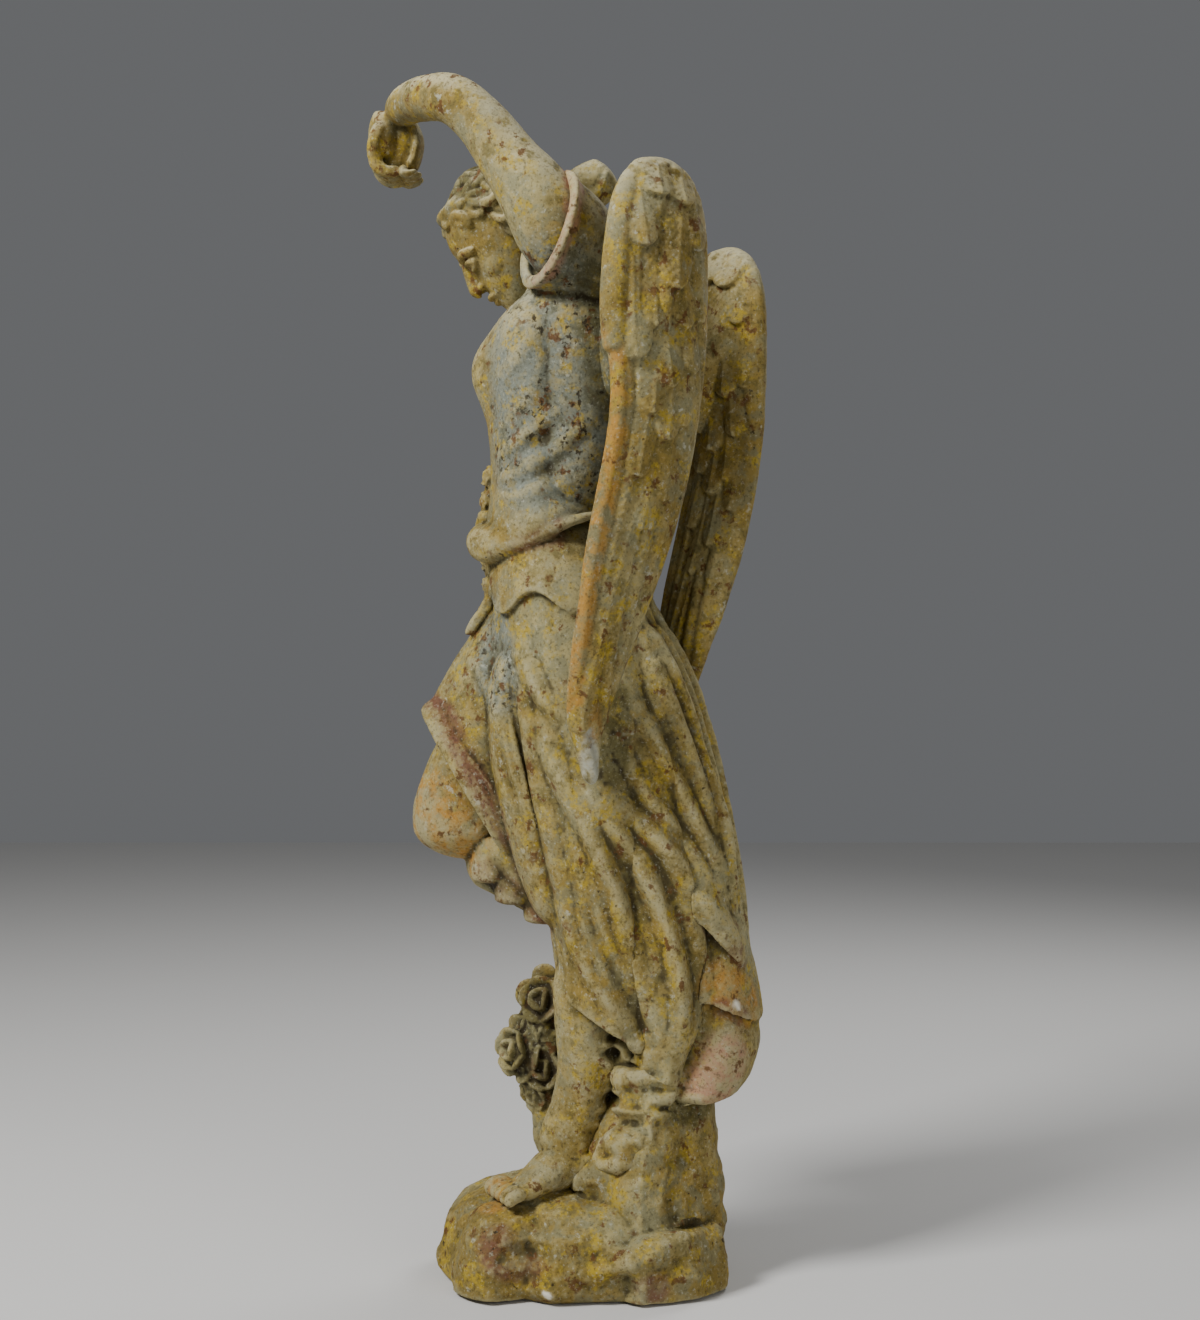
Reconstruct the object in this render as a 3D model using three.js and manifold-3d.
// A weathered garden angel of cast stone, one piece with the rock it stands on.
// Millimetres, +Z up. The figure faces -Y, its left side is +X, and the origin is the middle of the underside.
// Every form is a swept solid: rings along a path, each ring an ellipse with its own half-width and half-depth.

import * as THREE from "three";
import { mergeVertices } from "three/addons/utils/BufferGeometryUtils.js";
import Module from "manifold-3d";

const wasm = await Module();
wasm.setup();

// Driving dimensions
const HEAD = 198; // chin to crown
const HEAD_CENTRE = [0, -113, 1588];
const HEAD_BOW = 45; // degrees that the face looks down
const CHEST_TURN = -20; // degrees that the shoulders turn to the figure's right
const BASE_LENGTH = 424; // of the rock, along Y
const BASE_WIDTH = 376; // of the rock, along X
const WING_OPEN = 30; // degrees between the wing's face and the figure's side
const RIGHT_WING_SHIFT = [0, 12, -45]; // the right shoulder is lower
const CURL = 18; // height of a lock of hair
const ROSE = 30; // radius of an open rose

const STONE = new THREE.MeshStandardMaterial({ color: 0xa39a76, roughness: 0.9, metalness: 0 });

const LEFT = new THREE.Vector3(1, 0, 0);
const BACK = new THREE.Vector3(0, 1, 0);
const radians = THREE.MathUtils.degToRad;
const chestLeft = new THREE.Vector3(1, 0, 0).applyAxisAngle(new THREE.Vector3(0, 0, 1), radians(CHEST_TURN));
const chestBack = new THREE.Vector3(0, 1, 0).applyAxisAngle(new THREE.Vector3(0, 0, 1), radians(CHEST_TURN));

// Forms. A row is x, y, z, half-width, half-depth, turn in degrees and tilt as a slope.
// On a level form the rings lie flat, the width runs along X and the turn is about Z.
// On any other form the rings stand square to the path and the width runs along the given side.

const curve = (rows, first) =>
  new THREE.CatmullRomCurve3(
    rows.map((row) => new THREE.Vector3(row[first] ?? 0, row[first + 1] ?? 0, row[first + 2] ?? 0)),
    false,
    "catmullrom",
  );

function ringAxes(tangent, side, level, turn) {
  if (level) {
    const up = new THREE.Vector3(0, 0, 1);
    return [LEFT.clone().applyAxisAngle(up, radians(turn)), BACK.clone().applyAxisAngle(up, radians(turn)), up];
  }
  const across = side.clone().addScaledVector(tangent, -side.dot(tangent)).normalize();
  return [across, new THREE.Vector3().crossVectors(tangent, across), tangent];
}

function signedVolume(form) {
  const [a, b, c] = [new THREE.Vector3(), new THREE.Vector3(), new THREE.Vector3()];
  const place = form.getAttribute("position");
  let volume = 0;
  for (let i = 0; i < form.index.count; i += 3) {
    a.fromBufferAttribute(place, form.index.getX(i));
    b.fromBufferAttribute(place, form.index.getX(i + 1));
    c.fromBufferAttribute(place, form.index.getX(i + 2));
    volume += a.dot(b.cross(c)) / 6;
  }
  return volume;
}

function facingOut(form) {
  if (signedVolume(form) < 0) form.index.array.reverse();
  return form;
}

// A ripple swells a ring by a share of its size, a relief raises its two faces by millimetres,
// a slide moves a point along the path, and a twist turns the last ring against the first.
const none = () => 0;
const same = (s) => s;

function swept(rows, options = {}) {
  const { around = 8, rings = 5, round = 0.12, side = LEFT, level = false } = options;
  const { ripple = none, relief = none, slide = same, twist = 0 } = options;
  const path = curve(rows, 0);
  const size = curve(rows, 3);
  const tilts = curve(rows, 6);
  const ball = new THREE.SphereGeometry(1, around, rings);
  ball.deleteAttribute("normal");
  ball.deleteAttribute("uv");
  const form = mergeVertices(ball);
  const place = form.getAttribute("position");
  for (let i = 0; i < place.count; i++) {
    const ring = THREE.MathUtils.clamp((1 - place.getY(i)) / 2, 0, 1);
    const angle = Math.atan2(place.getZ(i), place.getX(i));
    const s = THREE.MathUtils.clamp(slide(ring, angle), 0, 1);
    const { x: width, y: depth, z: turn } = size.getPoint(s);
    const [across, deep, lift] = ringAxes(path.getTangent(s), side, level, turn);
    const end = Math.min(s, 1 - s) / round;
    const rounding = end < 1 ? Math.sqrt(Math.max(0, 1 - (1 - end) ** 2)) : 1;
    const swell = rounding * (1 + ripple(ring, angle));
    const turned = angle + radians(twist) * s;
    const point = path
      .getPoint(s)
      .addScaledVector(across, width * swell * Math.cos(turned))
      .addScaledVector(deep, (depth * swell + relief(ring, angle) * rounding) * Math.sin(turned))
      .addScaledVector(lift, tilts.getPoint(s).x * depth * swell * Math.sin(turned));
    place.setXYZ(i, point.x, point.y, point.z);
  }
  return facingOut(form);
}

const lump = (centre, size, around = 6, rings = 4) => {
  const ball = new THREE.SphereGeometry(1, around, rings);
  ball.scale(...size).translate(...centre);
  ball.deleteAttribute("normal");
  ball.deleteAttribute("uv");
  return mergeVertices(ball);
};

// Folds of cloth are flutes: every second column of a form stands out, and no two by the same amount.
// They deepen from one share of its length to another, and a twist lets them sweep round it.

function flutes(around, depth, from, to) {
  return (share, angle) => {
    const column = Math.round((around * (angle + Math.PI)) / (2 * Math.PI)) % around;
    const uneven = 0.7 + 0.3 * Math.sin(2.3 * column);
    return depth * uneven * (column % 2 ? 1 : -1) * THREE.MathUtils.smoothstep(share, from, to);
  };
}

// Rock: a low mound under the foot, with a boulder rising behind it to carry the trailing robe.

function rockFacets(scale) {
  return (s, angle) => scale * (Math.sin(3 * angle + 5 * s) + 0.7 * Math.sin(5 * angle + 9 * s + 1));
}

function makeRock() {
  const [halfWidth, halfLength] = [BASE_WIDTH / 2, BASE_LENGTH / 2];
  const mound = [
    [0, 0, -40, halfWidth * 0.93, halfLength * 0.94],
    [0, 0, 20, halfWidth, halfLength],
    [0, 0, 70, halfWidth * 0.98, halfLength * 0.99],
    [0, -2, 108, halfWidth * 0.87, halfLength * 0.9],
    [0, 4, 130, halfWidth * 0.7, halfLength * 0.72],
    [0, 10, 142, halfWidth * 0.3, halfLength * 0.3],
  ];
  const boulder = [
    [20, 105, 30, 128, 100],
    [24, 104, 120, 112, 92],
    [24, 102, 190, 96, 82],
    [16, 116, 260, 84, 74],
    [8, 140, 330, 60, 50],
  ];
  return [
    swept(mound, { around: 18, rings: 7, round: 0.06, level: true, ripple: rockFacets(0.016) }),
    swept(boulder, { around: 10, rings: 6, round: 0.1, level: true, ripple: rockFacets(0.05) }),
    lump([78, -92, 84], [78, 96, 48]),
  ];
}

// Legs: the left one stands, and the right knee swings forward out of the robe with the shin behind.

function makeLegs() {
  const standing = [
    [58, 4, 500, 48, 52],
    [57, 2, 400, 45, 46],
    [56, 0, 320, 40, 39],
    [54, -2, 250, 32, 32],
    [52, -6, 190, 34, 38],
  ];
  const foot = [
    [34, 26, 166, 26, 26],
    [46, -4, 182, 33, 38],
    [68, -48, 168, 35, 30],
    [92, -92, 150, 38, 20],
    [104, -116, 140, 34, 13],
  ];
  const thigh = [
    [-62, -40, 960, 92, 100],
    [-66, -118, 830, 82, 90],
    [-70, -176, 735, 68, 76],
    [-72, -207, 679, 62, 70],
    [-72, -222, 650, 44, 50],
  ];
  const shin = [
    [-72, -196, 664, 56, 62],
    [-74, -110, 612, 54, 56],
    [-74, -10, 548, 46, 48],
    [-70, 80, 486, 32, 34],
    [-68, 130, 450, 32, 32],
  ];
  const rightFoot = [
    [-68, 112, 466, 28, 26],
    [-72, 150, 420, 34, 26],
    [-76, 168, 360, 36, 20],
    [-78, 160, 318, 30, 13],
  ];
  const toes = Array.from({ length: 5 }, (_, i) => {
    const spread = i / 4 - 0.5;
    const size = i === 4 ? 17 : 13;
    return lump([108 - 66 * spread, -128 - 30 * spread, 138], [size, size * 1.4, size], 5, 3);
  });
  return [
    swept(standing),
    swept(foot),
    swept(thigh, { around: 10, rings: 6 }),
    swept(shin),
    swept(rightFoot, { around: 6 }),
    ...toes,
  ];
}

// Robe: an overhanging bodice, a skirt that hangs from the hips, and three swags that trail behind it.

const ROBE_COLUMNS = 36;
const BODICE_COLUMNS = 24;
const SWAG_COLUMNS = 18;

function chest(share, angle) {
  const bump = (at) => Math.exp(-(((angle - radians(at)) / 0.3) ** 2));
  return 0.4 * (bump(-62) + bump(-118)) * Math.exp(-(((share - 0.3) / 0.1) ** 2));
}

function makeBodice() {
  const cloth = [
    [0, -18, 1506, 58, 52, -20],
    [0, -25, 1477, 112, 66, -20],
    [0, -36, 1439, 142, 82, -20],
    [0, -41, 1385, 147, 88, -19],
    [0, -45, 1316, 138, 88, -16],
    [0, -51, 1240, 128, 86, -12],
    [0, -53, 1178, 130, 88, -9, 0.1],
    [0, -50, 1142, 140, 98, -7, 0.3],
    [0, -48, 1122, 138, 98, -6, 0.32],
    [0, -46, 1136, 112, 74, -6, 0.2],
  ];
  const roll = [
    [128, 14, 1138, 12, 12],
    [132, -40, 1122, 16, 15],
    [104, -94, 1106, 20, 20],
    [58, -138, 1112, 24, 26],
    [20, -156, 1122, 22, 26],
    [-24, -146, 1128, 14, 16],
  ];
  const sash = [
    [140, 20, 1034, 12, 16],
    [142, -34, 1026, 14, 18],
    [122, -74, 1016, 16, 20],
    [92, -112, 1044, 16, 22],
    [56, -132, 1086, 12, 16],
  ];
  const creases = flutes(BODICE_COLUMNS, 0.035, 0.2, 0.6);
  return [
    swept(cloth, {
      around: BODICE_COLUMNS,
      rings: 11,
      round: 0.05,
      level: true,
      twist: -30,
      ripple: (share, angle) => chest(share, angle) + creases(share, angle),
    }),
    swept(roll, { around: 6, rings: 6 }),
    swept(sash, { around: 5, rings: 5, side: BACK }),
  ];
}

function makeSkirt() {
  const skirt = [
    [0, -44, 1150, 104, 74, -6],
    [0, -36, 1100, 132, 100, -5],
    [0, -18, 1040, 148, 116, -4],
    [0, -2, 964, 154, 130, -3],
    [4, 10, 872, 152, 132],
    [8, 22, 780, 146, 124],
    [14, 30, 689, 134, 110],
    [20, 32, 598, 120, 94],
    [26, 34, 508, 108, 82, 0, -0.2],
    [32, 36, 420, 100, 76, 0, -0.55],
    [34, 38, 386, 98, 76, 0, -0.65],
    [36, 38, 402, 80, 60, 0, -0.5],
    [40, 34, 460, 60, 46],
  ];
  const overThigh = [
    [-40, 0, 1010, 110, 116],
    [-58, -62, 930, 110, 116],
    [-64, -112, 846, 102, 108, 0, -0.25],
    [-68, -140, 776, 90, 94, 0, -0.7],
    [-70, -152, 744, 84, 88, 0, -0.85],
    [-70, -146, 768, 66, 70, 0, -0.6],
    [-68, -126, 830, 40, 44],
  ];
  const underThigh = [
    [-70, -120, 640, 52, 44],
    [-72, -74, 580, 54, 42],
    [-74, -50, 544, 40, 24],
  ];
  return [
    swept(skirt, {
      around: ROBE_COLUMNS,
      rings: 12,
      round: 0.05,
      level: true,
      twist: 50,
      ripple: flutes(ROBE_COLUMNS, 0.075, 0.1, 0.5),
    }),
    swept(overThigh, {
      around: SWAG_COLUMNS,
      rings: 7,
      round: 0.05,
      twist: -40,
      ripple: flutes(SWAG_COLUMNS, 0.04, 0.1, 0.6),
    }),
    swept(underThigh),
  ];
}

function makeTrain() {
  const swags = [
    [
      [0, 60, 1010, 112, 56],
      [0, 98, 900, 122, 70],
      [0, 130, 770, 118, 78, 0, -0.1],
      [0, 158, 650, 114, 80, 0, -0.5],
      [0, 176, 560, 112, 78, 0, -0.95],
      [0, 182, 530, 110, 74, 0, -1.05],
      [0, 172, 556, 92, 56, 0, -0.9],
      [0, 150, 640, 60, 34],
    ],
    [
      [4, 140, 690, 80, 46],
      [4, 172, 590, 100, 66],
      [4, 192, 480, 106, 70, 0, -0.2],
      [2, 204, 410, 106, 66, 0, -0.45],
      [2, 206, 382, 102, 60, 0, -0.45],
      [4, 194, 404, 84, 44, 0, -0.3],
      [4, 178, 470, 50, 28],
    ],
    [
      [8, 170, 500, 78, 46],
      [8, 192, 420, 98, 66],
      [8, 196, 350, 102, 72],
      [8, 178, 292, 98, 68, 0, 0.05],
      [8, 166, 262, 90, 60, 0, 0.1],
      [8, 166, 280, 72, 46, 0, 0.1],
      [8, 172, 330, 44, 28],
    ],
  ];
  const ripple = flutes(SWAG_COLUMNS, 0.08, 0.05, 0.4);
  return swags.map((rows) => swept(rows, { around: SWAG_COLUMNS, rings: 7, round: 0.05, level: true, twist: 40, ripple }));
}

// Head: an egg-shaped face with its features, and locks of hair around a cap that ends in a knot.

function makeHead() {
  const bow = new THREE.Matrix4()
    .makeTranslation(...HEAD_CENTRE)
    .multiply(new THREE.Matrix4().makeRotationX(radians(HEAD_BOW)));
  const half = HEAD / 2;
  const face = [
    [0, -62, -half, 18, 16],
    [0, -52, -0.82 * half, 36, 34],
    [0, -36, -0.55 * half, 50, 52],
    [0, -20, -0.25 * half, 59, 68],
    [0, -4, 0.1 * half, 66, 82],
    [0, 2, 0.45 * half, 68, 86],
    [0, 6, 0.76 * half, 56, 70],
    [0, 8, 0.98 * half, 20, 24],
  ];
  const nose = [
    [0, -80, 0.12 * half, 8, 8],
    [0, -92, -0.12 * half, 10, 10],
    [0, -98, -0.3 * half, 14, 11],
  ];
  const lip = (drop, forward, size) => [
    [-22, -82, -drop * half, size * 0.5, size * 0.5],
    [0, -88 - forward, -drop * half, size, size],
    [22, -82, -drop * half, size * 0.5, size * 0.5],
  ];
  const cap = [
    [0, 34, -0.62 * half, 44, 52],
    [0, 30, -0.1 * half, 76, 74],
    [0, 16, 0.4 * half, 80, 92, 0, -0.25],
    [0, 8, 0.8 * half, 72, 86, 0, -0.25],
    [0, 8, 1.1 * half, 40, 48],
  ];
  const knot = [
    [0, 86, -0.3 * half, 44, 40],
    [0, 120, -0.36 * half, 40, 38],
    [0, 150, -0.4 * half, 36, 36],
    [0, 176, -0.42 * half, 24, 26],
  ];
  const locks = (s, angle) => (CURL / HEAD) * Math.sin(6 * angle + 4 * s) * Math.sin(5 * Math.PI * s);
  const pieces = [
    swept(face, { around: 12, rings: 9, level: true }),
    swept(nose, { around: 5, rings: 4 }),
    swept(lip(0.53, 2, 7), { around: 4, rings: 4, side: BACK }),
    swept(lip(0.64, 0, 8), { around: 4, rings: 4, side: BACK }),
    lump([-28, -72, 0], [15, 12, 10]),
    lump([28, -72, 0], [15, 12, 10]),
    swept(cap, { around: 16, rings: 8, level: true, ripple: locks }),
    swept(knot),
  ];
  return pieces.map((piece) => piece.applyMatrix4(bow));
}

// Arms: the left one reaches up and over the head, the right one gathers roses at the waist.

const LEFT_WRIST = [-62, -300, 1782];
const RIGHT_WRIST = [-62, -132, 1146];

function makeArms() {
  const neck = [
    [0, -15, 1462, 56, 54],
    [4, -34, 1512, 45, 45],
    [4, -58, 1560, 45, 46],
  ];
  const leftArm = [
    [118, -12, 1500, 62, 58],
    [130, -60, 1610, 52, 51],
    [125, -100, 1670, 42, 41],
    [113, -146, 1730, 37, 37],
    [98, -192, 1764, 37, 37],
    [60, -228, 1778, 35, 34],
    [0, -266, 1786, 31, 31],
    LEFT_WRIST.concat([25, 24]),
  ];
  const leftSleeve = [
    [70, 30, 1500, 76, 66],
    [100, 14, 1540, 82, 82],
    [120, -16, 1562, 82, 90],
    [130, -48, 1572, 80, 92],
    [131, -56, 1576, 74, 86],
    [120, -30, 1566, 60, 70],
    [100, 0, 1550, 36, 40],
  ];
  const rightArm = [
    [-118, 2, 1450, 62, 62],
    [-160, 10, 1390, 52, 52],
    [-184, 0, 1300, 40, 42],
    [-190, -22, 1232, 38, 38],
    [-160, -58, 1206, 35, 35],
    [-112, -98, 1172, 29, 29],
    RIGHT_WRIST.concat([24, 22]),
  ];
  const rightSleeve = [
    [-96, 0, 1456, 66, 64],
    [-148, 10, 1416, 70, 70],
    [-176, 8, 1350, 66, 70],
    [-184, 4, 1318, 62, 68],
    [-180, 6, 1340, 44, 48],
    [-168, 8, 1370, 24, 26],
  ];
  return [
    swept(neck, { rings: 4 }),
    swept(leftArm, { around: 10, rings: 10, side: BACK }),
    swept(leftSleeve, { around: 12, rings: 8, round: 0.06 }),
    swept(rightArm, { rings: 8, side: BACK }),
    swept(rightSleeve, { rings: 6, round: 0.06, side: BACK }),
    ...makeLeftHand(),
    ...makeRightHand(),
  ];
}

// Four fingers side by side swell out of the palm towards their tips.
const knuckles = (s, angle) => 0.16 * THREE.MathUtils.smoothstep(s, 0.4, 0.7) * Math.cos(8 * angle);

// The raised hand droops from the wrist, with the fingers curled round the last petals.
function makeLeftHand() {
  const [x, y, z] = LEFT_WRIST;
  const palm = [
    [x, y + 2, z + 4, 24, 20],
    [x - 14, y - 16, z - 24, 36, 19],
    [x - 20, y - 20, z - 56, 42, 17],
    [x - 20, y - 10, z - 88, 42, 15],
    [x - 20, y + 14, z - 102, 40, 13],
    [x - 20, y + 38, z - 96, 36, 11],
  ];
  const thumb = [
    [x + 16, y - 10, z - 26, 13, 13],
    [x + 26, y - 14, z - 56, 11, 11],
    [x + 20, y - 6, z - 84, 9, 9],
  ];
  return [
    swept(palm, { around: 16, rings: 5, ripple: knuckles }),
    swept(thumb, { around: 5, rings: 4 }),
    lump([x - 20, y + 16, z - 78], [28, 24, 16]),
  ];
}

function makeRightHand() {
  const [x, y, z] = RIGHT_WRIST;
  const palm = [
    [x - 6, y + 2, z + 2, 22, 22],
    [x + 26, y - 16, z - 10, 34, 18],
    [x + 54, y - 22, z - 16, 36, 15],
    [x + 80, y - 14, z - 20, 34, 12],
    [x + 88, y + 6, z - 22, 30, 10],
  ];
  return [swept(palm, { around: 16, rings: 4, side: new THREE.Vector3(0, 0, 1), ripple: knuckles })];
}

// Wings: a blade that hangs from a high wrist, a thick leading edge, and overlapping rows of feathers.

const WING = [
  [240, 106, 1636, 36, 16],
  [241, 104, 1589, 72, 26],
  [242, 106, 1511, 83, 30],
  [240, 106, 1398, 82, 28],
  [236, 107, 1300, 71, 25],
  [228, 89, 1188, 70, 22],
  [218, 61, 1075, 64, 19],
  [205, 31, 962, 51, 17],
  [192, 11, 861, 37, 14],
  [184, 13, 803, 21, 11],
  [178, 17, 756, 8, 7],
];
const WING_COLUMNS = 20; // round the blade
const COVERT_ROWS = 4; // rows of short feathers
const PRIMARY_RINGS = 5; // rings down the long feathers below them
const WING_RINGS = 2 * COVERT_ROWS + PRIMARY_RINGS + 1;
const COVERTS_END = 0.46; // share of the wing that the short feathers cover
const COVERT_RELIEF = 15;
const PRIMARY_RELIEF = 12;
const wingAcross = new THREE.Vector3(-Math.sin(radians(WING_OPEN)), Math.cos(radians(WING_OPEN)), 0);
const wingOut = new THREE.Vector3(Math.cos(radians(WING_OPEN)), Math.sin(radians(WING_OPEN)), 0);
const wingPath = curve(WING, 0);
const wingSize = curve(WING, 3);

// A point of the wing: down its length, across from -1 at the leading edge to 1, and off its middle.
function onWing(down, across, off) {
  const width = wingSize.getPoint(down).x;
  return wingPath.getPoint(down).addScaledVector(wingAcross, across * width).addScaledVector(wingOut, off);
}

// Short feathers overlap like scales: each row rises to scalloped tips, and the next one starts under them.
// Long feathers run side by side below.
function plumage(share, angle) {
  const ring = Math.round((WING_RINGS * Math.acos(1 - 2 * share)) / Math.PI);
  const column = Math.round((WING_COLUMNS * (angle + Math.PI)) / (2 * Math.PI));
  const row = Math.floor((ring - 1) / 2);
  if (ring === 0 || ring === WING_RINGS) return { down: share, raise: 0 };
  if (row >= COVERT_ROWS) {
    const along = (ring - 2 * COVERT_ROWS) / (PRIMARY_RINGS + 1);
    const down = THREE.MathUtils.lerp(COVERTS_END, 1, along);
    return { down, raise: column % 2 ? PRIMARY_RELIEF * (1 - along) : 0 };
  }
  const atTip = (ring - 1) % 2;
  const scallop = (column + row) % 2 ? 0.4 : -0.15;
  const step = atTip ? row + 1 + scallop : row + 0.06;
  return { down: (COVERTS_END * step) / COVERT_ROWS, raise: atTip ? COVERT_RELIEF : 2 };
}

function makeWing() {
  const root = [
    [40, -6, 1386, 60, 92],
    [104, 32, 1424, 46, 86],
    [170, 74, 1474, 36, 80],
    [226, 102, 1512, 26, 70],
  ];
  const leading = [0.03, 0.1, 0.22, 0.36, 0.52, 0.7].map((down, i) => [
    ...onWing(down, -0.86, 4).toArray(),
    [22, 28, 27, 20, 15, 10][i],
    [20, 26, 25, 19, 14, 9][i],
  ]);
  return [
    swept(WING, {
      around: WING_COLUMNS,
      rings: WING_RINGS,
      round: 0.04,
      side: wingAcross,
      slide: (share, angle) => plumage(share, angle).down,
      relief: (share, angle) => plumage(share, angle).raise,
    }),
    swept(root, { side: wingOut }),
    swept(leading, { around: 5, rings: 5, side: wingAcross }),
  ];
}

// The right wing mirrors the left one in the plane of the turned chest.
function makeWings() {
  const flip = new THREE.Matrix4().set(
    1 - 2 * chestLeft.x ** 2, -2 * chestLeft.x * chestLeft.y, 0, 0,
    -2 * chestLeft.x * chestLeft.y, 1 - 2 * chestLeft.y ** 2, 0, 0,
    0, 0, 1, 0,
    0, 0, 0, 1,
  );
  const spine = new THREE.Matrix4().makeTranslation(0, -41, 0);
  const mirror = new THREE.Matrix4()
    .makeTranslation(...RIGHT_WING_SHIFT)
    .multiply(spine)
    .multiply(flip)
    .multiply(spine.clone().invert());
  const left = makeWing();
  return left.concat(left.map((piece) => piece.clone().applyMatrix4(mirror)));
}

// Roses: a bunch at the waist, and a spray that grows from the rock behind the ankle.

function rose(centre, size, facing) {
  const open = (s, angle) => 0.2 * Math.cos(5 * angle) * Math.sin(Math.PI * s);
  const aim = new THREE.Vector3(...facing).normalize();
  const at = (along) => new THREE.Vector3(...centre).addScaledVector(aim, along * size).toArray();
  const station = (along, width) => [...at(along), width * size, width * size];
  const bloom = [station(-0.6, 0.4), station(0, 1), station(0.35, 0.9), station(0.5, 0.6)];
  return swept(bloom, { around: 10, rings: 4, round: 0.2, side: new THREE.Vector3(1, 0, 1), ripple: open });
}

function makeRoses() {
  const waistStem = [
    [-26, -128, 1110, 11, 11],
    [-20, -140, 1036, 10, 10],
    [-20, -182, 970, 8, 8],
  ];
  const groundStem = [
    [-46, -40, 150, 30, 30],
    [-42, -58, 230, 22, 22],
    [-40, -66, 320, 34, 36],
    [-36, -50, 400, 26, 28],
    [-24, -20, 440, 16, 16],
  ];
  return [
    swept(waistStem, { around: 5, rings: 4 }),
    swept(groundStem),
    rose([-28, -138, 1214], 24, [0.2, -1, 0.3]),
    rose([-34, -142, 1170], 24, [0.1, -1, 0]),
    rose([-24, -140, 1092], 26, [0.2, -1, -0.2]),
    rose([-30, -62, 402], ROSE * 1.15, [1, -0.6, 0.3]),
    rose([-26, -66, 300], ROSE * 1.15, [1, -0.5, 0]),
    rose([-38, -104, 322], ROSE, [0.3, -1, 0]),
  ];
}

// Everything is cast together, and the underside is cut flat.

function solidOf(form) {
  const { index, attributes } = facingOut(form);
  const triVerts = new Uint32Array(index.array);
  const vertProperties = new Float32Array(attributes.position.array);
  return new wasm.Manifold(new wasm.Mesh({ numProp: 3, vertProperties, triVerts }));
}

function castStatue() {
  const forms = [
    ...makeRock(),
    ...makeLegs(),
    ...makeBodice(),
    ...makeSkirt(),
    ...makeTrain(),
    ...makeHead(),
    ...makeArms(),
    ...makeWings(),
    ...makeRoses(),
  ];
  const below = new THREE.BoxGeometry(1000, 1000, 200).translate(0, 0, -100);
  below.deleteAttribute("normal");
  below.deleteAttribute("uv");
  const joined = forms.map(solidOf).reduce((whole, next) => whole.add(next));
  // The joins close off small pockets inside, which are solid stone.
  const shells = joined.subtract(solidOf(mergeVertices(below))).decompose();
  const cast = shells.reduce((most, shell) => (shell.volume() > most.volume() ? shell : most));
  const { numProp, numVert, vertProperties, triVerts } = cast.getMesh();
  const place = new Float32Array(3 * numVert);
  for (let i = 0; i < numVert; i++) place.set(vertProperties.subarray(i * numProp, i * numProp + 3), 3 * i);
  return new THREE.BufferGeometry()
    .setAttribute("position", new THREE.BufferAttribute(place, 3))
    .setIndex(new THREE.BufferAttribute(triVerts, 1));
}

const statue = new THREE.Mesh(castStatue(), STONE);
statue.name = "angel_statue";

const angel = new THREE.Group();
angel.add(statue);

export default angel;
